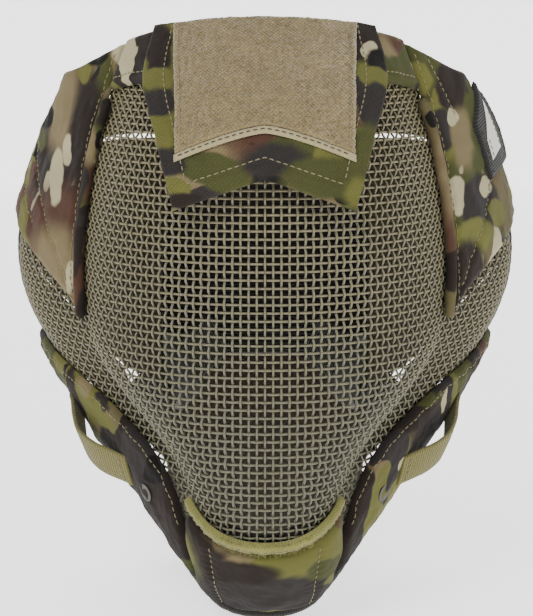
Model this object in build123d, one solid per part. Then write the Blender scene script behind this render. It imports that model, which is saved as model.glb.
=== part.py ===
from build123d import *
import math
import os

# Camo face mask: a pressed woven-mesh shell with padded fabric covers, a forehead flap and a rear harness.
# All sizes are in millimetres. +Z is up, the mask faces -Y, and the head goes in from +Y.
# The origin is at the middle of the head opening, level with the rear edges of the ear wings.

# ---- mesh shell: sections from the chin edge (station 0) to the top edge (last station) ----
FRONT_Z = [-127, -110, -91, -66, -32, 4, 44, 88, 129]         # centre line height
FRONT_Y = [-110, -127, -141, -148, -152, -152, -146, -131, -98]  # centre line depth
CREASE_X = [22, 28, 31, 44, 73, 78.5, 77, 70, 55]             # half-width at the pressed crease
CREASE_Y = [-103, -115, -119, -111, -93, -85, -80, -75, -74]
CREASE_Z = [-120, -99, -74, -50, -15, 14, 46, 82, 123]
REAR_X = [93, 104, 111.5, 115, 115, 111.5, 105, 96, 84]         # half-width at the ear wing's rear edge
REAR_Y = [-20, -10, -3, 0, 0, 0, -4, -14, -40]
REAR_Z = [-27, -15, -1, 13, 28, 43, 60, 80, 104]
CREASE_TURN = [50, 60, 65, 66, 70, 74, 74, 68, 54]            # degrees between the crease and straight across
CREASE_SOFT = [14, 11, 9, 9, 10, 12, 12, 15, 18]              # how gently the wing leaves the crease
REAR_BULGE = [-0.55, -0.36, -0.16, 0.02, 0.12, 0.12, 0.12, 0.12, 0.12]  # how far the wing bulges before its rear
TOP = len(FRONT_Z) - 1
JAW_TOP = [1.15, 2.0, 2.4, 2.4, 2.15, 1.75, 1.3]                 # top of the jaw cover, from its front end to its rear
CHIN_U, CHIN_TOP = 1.06, 1.86                                    # half-width and top of the chin cover
JAW_U = CHIN_U + 0.06                                            # front end of the jaw cover

MESH_T = 1.8          # woven mesh, over both wires
GAP = 0.3             # clearance between neighbouring pieces
MESH_GAP = 0.5        # clearance between the mesh and the fabric or foam on it
COVER_T = 4.2         # padded fabric covers
FOAM_T = 8.0          # brow and chin foam
SIDE_FOAM_T = 9.0     # temple and cheek foam
SIDE_FOAM_GAP = 0.9   # clearance to the mesh at the pressed crease
FOAM_SPLIT, SIDE_FOAM_TOP = 4.16, 6.86   # stations where the cheek foam meets the temple foam and the brow foam
EDGE_R = 3.0          # lower black edging
RIM_R = 2.6           # ear wing edging
PIPING_R = 2.4        # rolled inner edge of the temple covers
SHEET_T = 1.2         # flap fabric
LOOP_PILE_T = 2.0     # loop panel with its pile
WEBBING_W = 25.0      # webbing of the lower straps
WEBBING_T = 2.0
LOOP_STAND = 8.0      # how far a jaw loop stands off the cover
CROWN_T = 3.0         # broad crown strap
PAD_T = 7.0           # rear head pad

FLAP_HALF = [46.5, 51.0, 44.5, 37.0]   # half-width from the top edge down to the corners
FLAP_CORNER_Z = 52.0
FLAP_NOTCH_Z = 65.0
FLAP_STAND_LOW = 8.5  # how far the flap's lower edge stands off the mesh
PANEL_HALF = 36.0
PANEL_CORNER_Z = 75.0
PANEL_ARCH_Z = 86.0


def fair(values, v):
    """Smooth value between stations."""
    i = min(max(int(math.floor(v)), 0), len(values) - 2)
    f = v - i
    here, after = values[i], values[i + 1]
    before = values[i - 1] if i > 0 else 2 * here - after
    later = values[i + 2] if i + 2 < len(values) else 2 * after - here
    m0, m1 = (after - before) / 2, (later - here) / 2
    return (here * (2 * f**3 - 3 * f**2 + 1) + m0 * (f**3 - 2 * f**2 + f)
            + after * (3 * f**2 - 2 * f**3) + m1 * (f**3 - f**2))


def bezier(a, b, c, d, t):
    k = 1 - t
    return a * k**3 + 3 * b * k * k * t + 3 * c * k * t * t + d * t**3


def shell_point(u, v):
    """The mesh mid-surface. u is 0 at the centre, 1 at the crease, 2 at the rear edge; v is the station."""
    side = -1 if u < 0 else 1
    u = abs(u)
    xf, yf, zf = 0, fair(FRONT_Y, v), fair(FRONT_Z, v)
    xc, yc, zc = fair(CREASE_X, v), fair(CREASE_Y, v), fair(CREASE_Z, v)
    xr, yr, zr = fair(REAR_X, v), fair(REAR_Y, v), fair(REAR_Z, v)
    turn = math.radians(fair(CREASE_TURN, v))
    if u <= 1:
        reach = 0.55 * (yc - yf) / max(math.sin(turn), 0.3)
        x = bezier(xf, 0.52 * xc, xc - reach * math.cos(turn), xc, u)
        y = bezier(yf, yf, yc - reach * math.sin(turn), yc, u)
        z = zf + (zc - zf) * u * u
    else:
        t = u - 1
        soft, back = fair(CREASE_SOFT, v), 0.5 * (yr - yc)
        x = bezier(xc, xc + soft * math.cos(turn), xr + fair(REAR_BULGE, v) * back, xr, t)
        y = bezier(yc, yc + soft * math.sin(turn), yr - back, yr, t)
        s0, s1 = min(2 * (zc - zf), zr - zc), zr - zc
        z = (zc * (2 * t**3 - 3 * t**2 + 1) + s0 * (t**3 - 2 * t**2 + t)
             + zr * (3 * t**2 - 2 * t**3) + s1 * (t**3 - t**2))
    return Vector(side * x, y, z)


def slopes(u, v, h=0.01):
    return ((shell_point(u + h, v) - shell_point(u - h, v)) / (2 * h),
            (shell_point(u, v + h) - shell_point(u, v - h)) / (2 * h))


def normal_of(surface, a, b, h=0.01):
    along_a = surface(a + h, b) - surface(a - h, b)
    along_b = surface(a, b + h) - surface(a, b - h)
    return along_b.cross(along_a).normalized() * -1


def layer_point(u, v, t):
    """A point t outside the mesh mid-surface."""
    v = min(max(v, 0.02), TOP - 0.02)
    return shell_point(u, v) + normal_of(shell_point, u, v) * t


def slab(where, t_in, t_out, rows, cols, point=layer_point):
    """A sheet of even thickness. where(r, s) gives its two surface coordinates, r and s from 0 to 1."""
    wires, ends = [], []
    for i in range(rows + 1):
        spots = [where(j / cols, i / rows) for j in range(cols + 1)]
        outer = Edge.make_spline([point(a, b, t_out) for a, b in spots])
        inner = Edge.make_spline([point(a, b, t_in) for a, b in spots])
        wires.append(Wire([outer, Edge.make_line(outer @ 1, inner @ 1),
                           inner, Edge.make_line(inner @ 0, outer @ 0)]))
        if i in (0, rows):
            ends.append(Face.make_surface_from_curves(outer, inner))
    loft = Solid.make_loft(wires, True)
    if len(loft.faces()) > 4 * rows:     # flat end sections are closed already
        return loft
    return Solid(Shell(list(loft.faces()) + ends))


def roll(points, radius, side=Vector(1, 0, 0)):
    """A round bead along a row of points, straight from one to the next. side is never along the row."""
    rings = []
    for i, at in enumerate(points):
        ahead = points[min(i + 1, len(points) - 1)] - points[max(i - 1, 0)]
        rings.append(Wire.make_circle(radius, Plane(origin=at, x_dir=ahead.cross(side), z_dir=ahead)))
    return Solid.make_loft(rings, True)


def save(name, shapes):
    shapes = shapes if isinstance(shapes, list) else [shapes]
    solids = [s for shape in shapes for s in shape.solids()]
    export_step(solids[0] if len(solids) == 1 else Compound(children=solids), f"parts/{name}.step")
    print(name, len(solids), [round(s.volume) for s in solids], all(s.is_valid for s in solids))


def pair(name, make):
    """Saves a piece for each side. make(side) gets -1 for the wearer's right and +1 for the left."""
    save("right_" + name, make(-1))
    save("left_" + name, make(1))


def mix(a, b, f):
    return a + (b - a) * f


os.makedirs("parts", exist_ok=True)
SKIN = MESH_T / 2 + MESH_GAP             # first free layer beside the mesh
BROW_LOW, TOP_EDGE = 7.42, TOP - 0.05


def clear_of_lower_edge(u):
    """The lowest station that stays clear of the lower edging."""
    du, dv = slopes(u, 0.1)
    return 0.03 + (EDGE_R + GAP + 0.4) * du.length / du.cross(dv).length


def clear_of_rear_edge(v):
    """The furthest u that stays clear of the ear wing edging."""
    du, dv = slopes(1.97, v)
    return 2 - (RIM_R + GAP + 0.3) * dv.length / du.cross(dv).length


def shell_spot(r, s):
    u = mix(-1, 1, r) * clear_of_rear_edge(mix(0.3, 7.8, s))
    return u, mix(clear_of_lower_edge(u), 7.8, s)


# ---- mesh shell and its edgings ----
save("face_mesh", slab(shell_spot, -MESH_T / 2, MESH_T / 2, 16, 36))
save("lower_edging", roll([layer_point(mix(-1.93, 1.93, i / 28), 0.03, 1.6) for i in range(29)], EDGE_R,
                           Vector(0, 0.6, -0.8)))
pair("ear_rim", lambda k: roll([layer_point(k * 1.999, mix(0.13, 7.85, i / 16), 0.6) for i in range(17)], RIM_R))


# ---- outer covers ----
def temple_low(f):
    return mix(4.42, 4.88, f)


def jaw_high(f):
    return fair(JAW_TOP, f * (len(JAW_TOP) - 1))


def chin_high(u):
    return CHIN_TOP - 0.25 * max(abs(u) - 0.9, 0) / (CHIN_U - 0.9)


cover = (SKIN, SKIN + COVER_T)
save("brow_cover", slab(lambda r, s: (mix(-1.04, 1.04, r), mix(BROW_LOW, TOP_EDGE, s)), *cover, 5, 24))


def temple_spot(k):
    def spot(r, s):
        v = mix(temple_low(r), TOP_EDGE, s)
        return k * mix(1.1, clear_of_rear_edge(v), r), v
    return spot


pair("temple_cover", lambda k: slab(temple_spot(k), *cover, 12, 14))
pair("temple_piping", lambda k: roll(
    [layer_point(k * 0.995, mix(4.5, BROW_LOW - 0.12, i / 10), SKIN + PIPING_R + 0.2) for i in range(11)], PIPING_R))


def jaw_spot(k):
    def spot(r, s):
        u = mix(JAW_U, clear_of_rear_edge(0.6), r)
        return k * u, mix(clear_of_lower_edge(u), jaw_high(r), s)
    return spot


pair("jaw_cover", lambda k: slab(jaw_spot(k), *cover, 20, 26))


def chin_spot(r, s):
    u = mix(-CHIN_U, CHIN_U, r)
    return u, mix(clear_of_lower_edge(u), chin_high(u), s)


save("chin_cover", slab(chin_spot, *cover, 12, 28))
save("chin_top_edging", slab(lambda r, s: (mix(-0.95, 0.95, r), mix(CHIN_TOP + 0.05, CHIN_TOP + 0.26, s)),
                              SKIN, SKIN + 3.4, 3, 24))

# ---- foam on the face side ----
foam = (-SKIN - FOAM_T, -SKIN)
save("brow_foam", slab(lambda r, s: (mix(-1.2, 1.2, r), mix(SIDE_FOAM_TOP + 0.07, 7.72, s)), -SKIN - FOAM_T, -SKIN - 0.6, 6, 32))
deep = (-SKIN - SIDE_FOAM_GAP - SIDE_FOAM_T, -SKIN - SIDE_FOAM_GAP)
pair("temple_foam", lambda k: slab(lambda r, s: (k * mix(0.45, 1.84, r), mix(FOAM_SPLIT + 0.07, SIDE_FOAM_TOP, s)), *deep, 16, 26))


def past_crease(r):
    """Stations of the cheek foam. None falls on the pressed crease, where a thick layer would fold over itself."""
    return mix(0.74, 0.88, r / 0.2) if r <= 0.2 else mix(1.12, 1.84, (r - 0.2) / 0.8)


pair("cheek_foam", lambda k: slab(lambda r, s: (k * past_crease(r), mix(2.32, FOAM_SPLIT - 0.07, s)), *deep, 12, 10))
save("chin_foam", slab(lambda r, s: (mix(-0.9, 0.9, r), mix(0.45, 2.25, s)), *foam, 8, 24))

# ---- forehead flap: a sheet that wraps the brow and stands off the dome lower down ----
FLAP_PATH = Edge.make_spline([layer_point(0, v, SKIN + COVER_T + GAP + mix(FLAP_STAND_LOW - 3, 0.4, (v - 6) / 2))
                              for v in (7.93, 7.6, 7.2, 6.8, 6.4, 6.0)])
FLAP_BEND = 0.0058    # how much the flap wraps round the brow
FLAP_DROP = 0.0018    # how much its top edge drops to the sides


def flap_surface(x, s):
    p = FLAP_PATH @ s
    return Vector(x, p.Y + mix(FLAP_BEND, 0.0048, s) * x * x, p.Z - FLAP_DROP * (1 - s) * x * x)


def flap_point(x, s, t):
    n = normal_of(flap_surface, x, min(max(s, 0.012), 0.988))
    return flap_surface(x, s) + (n if n.Y < 0 else n * -1) * t


def depth_at(z):
    """How far down the flap a height lies."""
    low, high = 0.0, 1.0
    for _ in range(30):
        mid = (low + high) / 2
        low, high = (mid, high) if (FLAP_PATH @ mid).Z > z else (low, mid)
    return low


def flap_sheet(halves, corner_z, notch_z, top, t0, t1, rows=12):
    s_corner, s_notch = depth_at(corner_z), depth_at(notch_z)

    def spot(r, s):
        across = 2 * r - 1
        bottom = mix(s_notch, s_corner, abs(across))
        down = mix(top, bottom, s)
        return across * fair(halves, down / s_corner * (len(halves) - 1)), down
    return slab(spot, t0, t1, rows, 12, flap_point)


save("flap_lining", flap_sheet([h - 2 for h in FLAP_HALF], FLAP_CORNER_Z + 3, FLAP_NOTCH_Z + 2,
                               0.0, 0, SHEET_T - 0.2))
save("forehead_flap", flap_sheet(FLAP_HALF, FLAP_CORNER_Z, FLAP_NOTCH_Z,
                                 0.0, SHEET_T - 0.2 + GAP, 2 * SHEET_T - 0.2 + GAP))
PANEL_IN = 2 * SHEET_T - 0.2 + 2 * GAP
save("flap_loop_panel", flap_sheet([PANEL_HALF + 2, PANEL_HALF], PANEL_CORNER_Z, PANEL_ARCH_Z,
                                   0.02, PANEL_IN, PANEL_IN + LOOP_PILE_T))


def panel_edge_spot(r, s):
    x = mix(-PANEL_HALF, PANEL_HALF, r)
    arch = mix(depth_at(PANEL_ARCH_Z), depth_at(PANEL_CORNER_Z), abs(x) / PANEL_HALF)
    return x, arch + mix(0.008, 0.04, s)


save("loop_panel_edging", slab(panel_edge_spot, PANEL_IN, PANEL_IN + 1.6, 2, 12, flap_point))


# ---- jaw loops and grommets ----
LOOP_U = (1.42, 1.68)                    # where a loop's two ends are sewn
LOOP_V = (0.95, 1.5)


def jaw_loop(k):
    rise = SKIN + COVER_T + GAP

    def spot(r, s):
        return k * mix(*LOOP_U, s), mix(*LOOP_V, r)

    def point(u, v, t):
        f = (abs(u) - LOOP_U[0]) / (LOOP_U[1] - LOOP_U[0])
        return layer_point(u, v, t + rise + LOOP_STAND * math.sin(math.pi * min(max(f, 0), 1)) ** 1.3)
    return slab(spot, 0, 1.8, 14, 6, point)


pair("jaw_loop", jaw_loop)


def grommet(k):
    u, v = k * (LOOP_U[0] - 0.085), 1.2
    at = layer_point(u, v, SKIN + COVER_T + GAP + 0.1)
    n = normal_of(shell_point, u, v)
    plane = Plane(origin=at, z_dir=n if n.X * k > 0 else n * -1)
    return extrude(plane * (Circle(4.2) - Circle(2.0)), 1.0)


pair("loop_grommet", grommet)

# ---- tab and blank label on the left temple ----
tab_t = SKIN + COVER_T + GAP


def tab_spot(lo_u, hi_u, inset):
    """A four-cornered patch whose rear edge stands higher than its front edge."""
    return lambda r, s: (mix(lo_u, hi_u, r), mix(mix(6.1, 6.25, r) + inset, mix(7.05, 7.7, r) - inset, s))


save("side_tab", slab(tab_spot(1.56, 1.8, 0), tab_t, tab_t + 2.6, 6, 6))
save("side_tab_label", slab(tab_spot(1.61, 1.73, 0.3), tab_t + 2.6 + GAP, tab_t + 3.4 + GAP, 4, 4))

# ---- rear harness, hanging relaxed behind the face: crown strap, nape pad and two lower straps ----
CROWN = [(-84, 119), (-62, 122), (-34, 117), (-12, 99), (0, 72), (5, 40), (6, 5), (6, -34)]  # y, z
CROWN_PATH = Edge.make_spline([Vector(0, y, z) for y, z in CROWN])
CROWN_FRONT_HALF, CROWN_BACK_HALF = 28.0, 60.0
PAD_HALF = 52.0
PAD_TOP_Z, PAD_LOW_Z = -32.6, -121.0


def crown_surface(x, s):
    p = CROWN_PATH @ s
    return Vector(x, p.Y - 0.0035 * s * x * x, p.Z - 0.002 * (1 - s) * x * x)


def crown_point(x, s, t):
    n = normal_of(crown_surface, x, min(max(s, 0.012), 0.988))
    return crown_surface(x, s) + (n if n.Y + n.Z > 0 else n * -1) * t


def crown_spot(lo, hi, half_lo, half_hi):
    return lambda r, s: (mix(-1, 1, r) * mix(half_lo, half_hi, s * s * (3 - 2 * s)), mix(lo, hi, s))


save("crown_strap", slab(crown_spot(0, 1, CROWN_FRONT_HALF, CROWN_BACK_HALF), 0, CROWN_T, 12, 10, crown_point))
save("back_pad_loop_field", slab(crown_spot(0.86, 0.98, 46, 46), CROWN_T + GAP, CROWN_T + GAP + 1.6, 4, 10,
                                 crown_point))


def pad_spot(r, s):
    z = mix(PAD_TOP_Z, PAD_LOW_Z, s)
    return mix(-1, 1, r) * PAD_HALF * (1 - 0.22 * s * s), z


def pad_point(x, z, t):
    return Vector(x, CROWN[-1][0] + CROWN_T + 0.8 - 0.0035 * x * x + t, z)


save("back_pad", slab(pad_spot, 0, PAD_T, 4, 10, pad_point))

# Each lower strap runs forward and out from the crown strap's lower end to just behind the jaw loop.
STRAP_BACK = Vector(22, -4, -20)
STRAP_FRONT = Vector(68, -50, -57)


def strap_box(k, start, end, width, thick, lift):
    """A flat bar along the strap's line, from start to end (distances from its rear end)."""
    rear = Vector(k * STRAP_BACK.X, STRAP_BACK.Y, STRAP_BACK.Z)
    line = (Vector(k * STRAP_FRONT.X, STRAP_FRONT.Y, STRAP_FRONT.Z) - rear).normalized()
    out = Vector(k * -line.Y * k, k * line.X * k, 0).normalized() * k
    frame = Plane(origin=rear + line * ((start + end) / 2) + out * (lift + thick / 2), x_dir=line, z_dir=out)
    return frame * Box(end - start, width, thick)


STRAP_L = (STRAP_FRONT - STRAP_BACK).length
pair("lower_strap", lambda k: strap_box(k, 0, STRAP_L, WEBBING_W, WEBBING_T, 0))
pair("strap_hook_end", lambda k: strap_box(k, STRAP_L - 24, STRAP_L - 2, WEBBING_W - 3, 1.5, WEBBING_T + GAP))


def slider(k):
    """A two-slot adjuster that holds the strap between its bars."""
    mid, long, wide = 32, 16, WEBBING_W + 8
    body = strap_box(k, mid - long / 2, mid + long / 2, wide, 6.4, WEBBING_T / 2 - 3.2)
    through = strap_box(k, mid - long, mid + long, WEBBING_W + 0.8, WEBBING_T + 0.8, -0.4)
    top = strap_box(k, mid - 5, mid + 5, WEBBING_W + 0.8, 4, WEBBING_T + 0.3)
    bar = strap_box(k, mid - 1.5, mid + 1.5, WEBBING_W + 2, 1.6, WEBBING_T + 0.6)
    return body - through - top + bar


pair("slider", slider)
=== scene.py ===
import math
import bpy
import numpy as np
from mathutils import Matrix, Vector


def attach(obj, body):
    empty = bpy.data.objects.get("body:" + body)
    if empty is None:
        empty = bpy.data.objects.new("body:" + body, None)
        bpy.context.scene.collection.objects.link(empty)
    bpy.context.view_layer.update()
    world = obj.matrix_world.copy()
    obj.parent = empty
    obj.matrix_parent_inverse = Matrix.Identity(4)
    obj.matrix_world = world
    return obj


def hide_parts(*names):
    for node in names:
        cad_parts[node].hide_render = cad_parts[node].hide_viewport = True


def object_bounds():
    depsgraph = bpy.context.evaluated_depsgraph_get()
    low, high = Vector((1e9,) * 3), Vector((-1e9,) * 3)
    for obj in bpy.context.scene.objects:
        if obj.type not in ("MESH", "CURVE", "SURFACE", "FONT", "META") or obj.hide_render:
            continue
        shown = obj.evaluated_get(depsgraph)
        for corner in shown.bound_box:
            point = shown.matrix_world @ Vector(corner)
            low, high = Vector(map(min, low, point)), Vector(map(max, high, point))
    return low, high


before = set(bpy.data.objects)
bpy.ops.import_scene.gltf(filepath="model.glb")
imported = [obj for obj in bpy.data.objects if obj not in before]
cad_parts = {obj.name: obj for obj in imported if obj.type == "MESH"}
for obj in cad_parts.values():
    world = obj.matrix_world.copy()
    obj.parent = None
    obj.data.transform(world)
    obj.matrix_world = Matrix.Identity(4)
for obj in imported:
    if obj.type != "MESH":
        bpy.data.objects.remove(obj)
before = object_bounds()
rng = np.random.default_rng(11)

# ---------------------------------------------------------------- shell surface, in millimetres
FRONT_Z = [-127, -110, -91, -66, -32, 4, 44, 88, 129]
FRONT_Y = [-110, -127, -141, -148, -152, -152, -146, -131, -98]
CREASE_X = [22, 28, 31, 44, 73, 78.5, 77, 70, 55]
CREASE_Y = [-103, -115, -119, -111, -93, -85, -80, -75, -74]
CREASE_Z = [-120, -99, -74, -50, -15, 14, 46, 82, 123]
REAR_X = [93, 104, 111.5, 115, 115, 111.5, 105, 96, 84]
REAR_Y = [-20, -10, -3, 0, 0, 0, -4, -14, -40]
REAR_Z = [-27, -15, -1, 13, 28, 43, 60, 80, 104]
CREASE_TURN = [50, 60, 65, 66, 70, 74, 74, 68, 54]
CREASE_SOFT = [14, 11, 9, 9, 10, 12, 12, 15, 18]
REAR_BULGE = [-0.55, -0.36, -0.16, 0.02, 0.12, 0.12, 0.12, 0.12, 0.12]
SKIN, COVER_T, GAP, EDGE_R, RIM_R, PIPING_R = 1.4, 4.2, 0.3, 3.0, 2.6, 2.4


def fair(values, v):
    w = np.asarray(values, float)
    w = np.concatenate([[2 * w[0] - w[1]], w, [2 * w[-1] - w[-2]]])
    i = np.clip(np.floor(v).astype(int), 0, len(values) - 2)
    f = v - i
    a, b, c, d = w[i], w[i + 1], w[i + 2], w[i + 3]
    m0, m1 = (c - a) / 2, (d - b) / 2
    return b * (2 * f**3 - 3 * f**2 + 1) + m0 * (f**3 - 2 * f**2 + f) + c * (3 * f**2 - 2 * f**3) + m1 * (f**3 - f**2)


def bezier(a, b, c, d, t):
    k = 1 - t
    return a * k**3 + 3 * b * k * k * t + 3 * c * k * t * t + d * t**3


def S(u, v):
    """Mesh mid-surface. u: 0 centre, 1 crease, 2 rear edge; v: station from chin 0 to top 8."""
    u, v = np.broadcast_arrays(np.asarray(u, float), np.asarray(v, float))
    side, w = np.where(u < 0, -1.0, 1.0), np.abs(u)
    yf, zf = fair(FRONT_Y, v), fair(FRONT_Z, v)
    xc, yc, zc = fair(CREASE_X, v), fair(CREASE_Y, v), fair(CREASE_Z, v)
    xr, yr, zr = fair(REAR_X, v), fair(REAR_Y, v), fair(REAR_Z, v)
    turn = np.radians(fair(CREASE_TURN, v))
    reach = 0.55 * (yc - yf) / np.maximum(np.sin(turn), 0.3)
    x1 = bezier(0, 0.52 * xc, xc - reach * np.cos(turn), xc, w)
    y1 = bezier(yf, yf, yc - reach * np.sin(turn), yc, w)
    z1 = zf + (zc - zf) * w * w
    t = w - 1
    soft, back = fair(CREASE_SOFT, v), 0.5 * (yr - yc)
    x2 = bezier(xc, xc + soft * np.cos(turn), xr + fair(REAR_BULGE, v) * back, xr, t)
    y2 = bezier(yc, yc + soft * np.sin(turn), yr - back, yr, t)
    s0, s1 = np.minimum(2 * (zc - zf), zr - zc), zr - zc
    z2 = zc * (2 * t**3 - 3 * t**2 + 1) + s0 * (t**3 - 2 * t**2 + t) + zr * (3 * t**2 - 2 * t**3) + s1 * (t**3 - t**2)
    near = w <= 1
    return np.stack([side * np.where(near, x1, x2), np.where(near, y1, y2), np.where(near, z1, z2)], -1)


def unit(a):
    return a / np.maximum(np.linalg.norm(a, axis=-1, keepdims=True), 1e-9)


def slopes(u, v, h=0.01):
    return (S(u + h, v) - S(u - h, v)) / (2 * h), (S(u, v + h) - S(u, v - h)) / (2 * h)


def N(u, v):
    du, dv = slopes(u, v)
    return unit(np.cross(du, dv))


def L(u, v, t):
    v = np.clip(v, 0.02, 7.98)
    return S(u, v) + N(u, v) * np.asarray(t, float)[..., None]


def length(a):
    return np.linalg.norm(a, axis=-1)


def low_edge(u):
    du, dv = slopes(u, 0.1 + 0 * np.asarray(u, float))
    return 0.03 + (EDGE_R + GAP + 0.4) * length(du) / length(np.cross(du, dv))


def rear_edge(v):
    du, dv = slopes(1.97 + 0 * np.asarray(v, float), v)
    return 2 - (RIM_R + GAP + 0.3) * length(dv) / length(np.cross(du, dv))


def mix(a, b, f):
    return a + (b - a) * f


def noise(p, size, seed, count=14):
    """Smooth noise from -1 to 1; size is the wavelength in millimetres."""
    g = np.random.default_rng(seed)
    out = 0
    for _ in range(count):
        d = unit(g.normal(size=3)) * g.uniform(0.7, 1.5) * 2 * math.pi / size
        out = out + np.sin(p @ d + g.uniform(0, 6.3))
    return out / math.sqrt(count) * 0.8


# ---------------------------------------------------------------- meshes
def mesh_object(name, verts, quads, mat, uv=None, smooth=True):
    """verts in millimetres, quads as rows of four indices, uv one pair per vertex in metres."""
    m = bpy.data.meshes.new(name)
    m.vertices.add(len(verts))
    m.vertices.foreach_set("co", (np.asarray(verts, float) * 0.001).ravel())
    q = np.asarray(quads, np.int32)
    m.loops.add(q.size)
    m.loops.foreach_set("vertex_index", q.ravel())
    m.polygons.add(len(q))
    m.polygons.foreach_set("loop_start", np.arange(len(q), dtype=np.int32) * q.shape[1])
    m.update(calc_edges=True)
    if uv is not None:
        layer = m.uv_layers.new(name="UVMap")
        layer.data.foreach_set("uv", np.asarray(uv, float)[q.ravel()].ravel())
    m.polygons.foreach_set("use_smooth", np.full(len(q), smooth))
    m.validate()
    o = bpy.data.objects.new(name, m)
    bpy.context.scene.collection.objects.link(o)
    m.materials.append(mat)
    return o


def grid_quads(rows, cols, base=0, flip=False):
    i = np.arange((rows - 1) * (cols - 1))
    a = base + (i // (cols - 1)) * cols + i % (cols - 1)
    q = np.stack([a, a + 1, a + cols + 1, a + cols], 1)
    return q[:, ::-1] if flip else q


def closed(name, outer, inner, mat, uv):
    """A closed form between two grids of the same size."""
    R, C = outer.shape[:2]
    n = R * C
    ring = np.concatenate([np.arange(C - 1), np.arange(R - 1) * C + C - 1, n - 1 - np.arange(C - 1),
                           (R - 1 - np.arange(R - 1)) * C])
    nxt = np.roll(ring, -1)
    rim = np.stack([nxt, ring, ring + n, nxt + n], 1)
    out_up = float(np.sum(np.cross(outer[1, 0] - outer[0, 0], outer[0, 1] - outer[0, 0]) * (outer - inner)[0, 0])) > 0
    quads = np.concatenate([grid_quads(R, C, 0, out_up), grid_quads(R, C, n, not out_up), rim if not out_up else rim[:, ::-1]])
    verts = np.concatenate([outer.reshape(-1, 3), inner.reshape(-1, 3)])
    return mesh_object(name, verts, quads, mat, np.concatenate([uv.reshape(-1, 2)] * 2))


def arcs(g):
    a = np.zeros(g.shape[:2])
    b = np.zeros(g.shape[:2])
    a[:, 1:] = np.cumsum(length(np.diff(g, axis=1)), 1)
    b[1:, :] = np.cumsum(length(np.diff(g, axis=0)), 0)
    return a, b


def tube(points, radii, ups, sides=10, closed_ends=True):
    """(verts, quads) of a tube; radii per point or (point, side)."""
    p = np.asarray(points, float)
    t = unit(np.gradient(p, axis=0))
    a = unit(np.cross(t, ups))
    b = np.cross(a, t)
    th = np.arange(sides) * 2 * math.pi / sides
    r = np.asarray(radii, float)
    r = r if r.ndim == 2 else np.repeat(r[:, None], sides, 1)
    ring = p[:, None] + r[..., None] * (np.cos(th)[None, :, None] * b[:, None] + np.sin(th)[None, :, None] * a[:, None])
    n = len(p)
    i = np.arange((n - 1) * sides)
    row, k = i // sides, i % sides
    q = np.stack([row * sides + k, row * sides + (k + 1) % sides, (row + 1) * sides + (k + 1) % sides,
                  (row + 1) * sides + k], 1)
    if closed_ends and sides == 6:
        e = (n - 1) * sides
        q = np.concatenate([q, [[3, 2, 1, 0], [5, 4, 3, 0], [e, e + 1, e + 2, e + 3], [e, e + 3, e + 4, e + 5]]])
    return ring.reshape(-1, 3), q


def join(parts):
    vs, qs, base = [], [], 0
    for v, q in parts:
        vs.append(v)
        qs.append(q + base)
        base += len(v)
    return np.concatenate(vs), np.concatenate(qs)


def bead(name, points, radius, ups, mat, ribs=None, wobble=0.0, seed=0, sides=18):
    """A round roll along a row of points with pinched ends."""
    p = np.asarray(points, float)
    run = np.concatenate([[0], np.cumsum(length(np.diff(p, axis=0)))])
    count = int(run[-1] / 0.9)
    at = np.linspace(0, run[-1], count)
    p = np.stack([np.interp(at, run, p[:, k]) for k in range(3)], 1)
    for _ in range(8):
        p[1:-1] = (p[:-2] + 2 * p[1:-1] + p[2:]) / 4
    up = np.stack([np.interp(at, run, ups[:, k]) for k in range(3)], 1)
    end = np.minimum(at, run[-1] - at)
    r = radius * np.sqrt(1 - (1 - np.clip(end / radius, 0.06, 1)) ** 2)
    th = np.arange(sides) * 2 * math.pi / sides
    w = np.stack([p[:, 0], p[:, 1], p[:, 2]], 1)[:, None] + radius * 1.2 * np.stack(
        [np.cos(th), np.sin(th), 0 * th], 1)[None]
    rr = r[:, None] * (1 + wobble * noise(w, 11, seed) + 0.5 * wobble * noise(w, 4.5, seed + 1))
    if ribs:
        rr = rr * (1 + 0.02 * np.sin(at * 2 * math.pi / ribs))[:, None]
    v, q = tube(p, rr, up, sides, False)
    uv = np.stack([np.tile(th * radius, count), np.repeat(at, sides)], 1) * 0.001
    return mesh_object(name, v, q, mat, uv), p


def distance_to(points, g):
    flat = g.reshape(-1, 3)
    best, which = np.full(len(flat), 1e9), np.zeros(len(flat), int)
    for i, p in enumerate(points):
        d = np.sum((flat - p) ** 2, 1)
        hit = d < best
        best[hit], which[hit] = d[hit], i
    return np.sqrt(best).reshape(g.shape[:2]), which.reshape(g.shape[:2])


def sample(g, r, s):
    """Point on a grid at r (columns) and s (rows), 0 to 1."""
    R, C = g.shape[:2]
    x, y = np.clip(r, 0, 1) * (C - 1), np.clip(s, 0, 1) * (R - 1)
    i, j = np.minimum(x.astype(int), C - 2), np.minimum(y.astype(int), R - 2)
    fx, fy = (x - i)[:, None], (y - j)[:, None]
    return (g[j, i] * (1 - fx) * (1 - fy) + g[j, i + 1] * fx * (1 - fy) + g[j + 1, i] * (1 - fx) * fy
            + g[j + 1, i + 1] * fx * fy)


def dense(line, n=90):
    line = np.asarray(line, float)
    t = np.linspace(0, len(line) - 1, n)
    k = np.arange(len(line))
    return np.interp(t, k, line[:, 0]), np.interp(t, k, line[:, 1])


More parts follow.
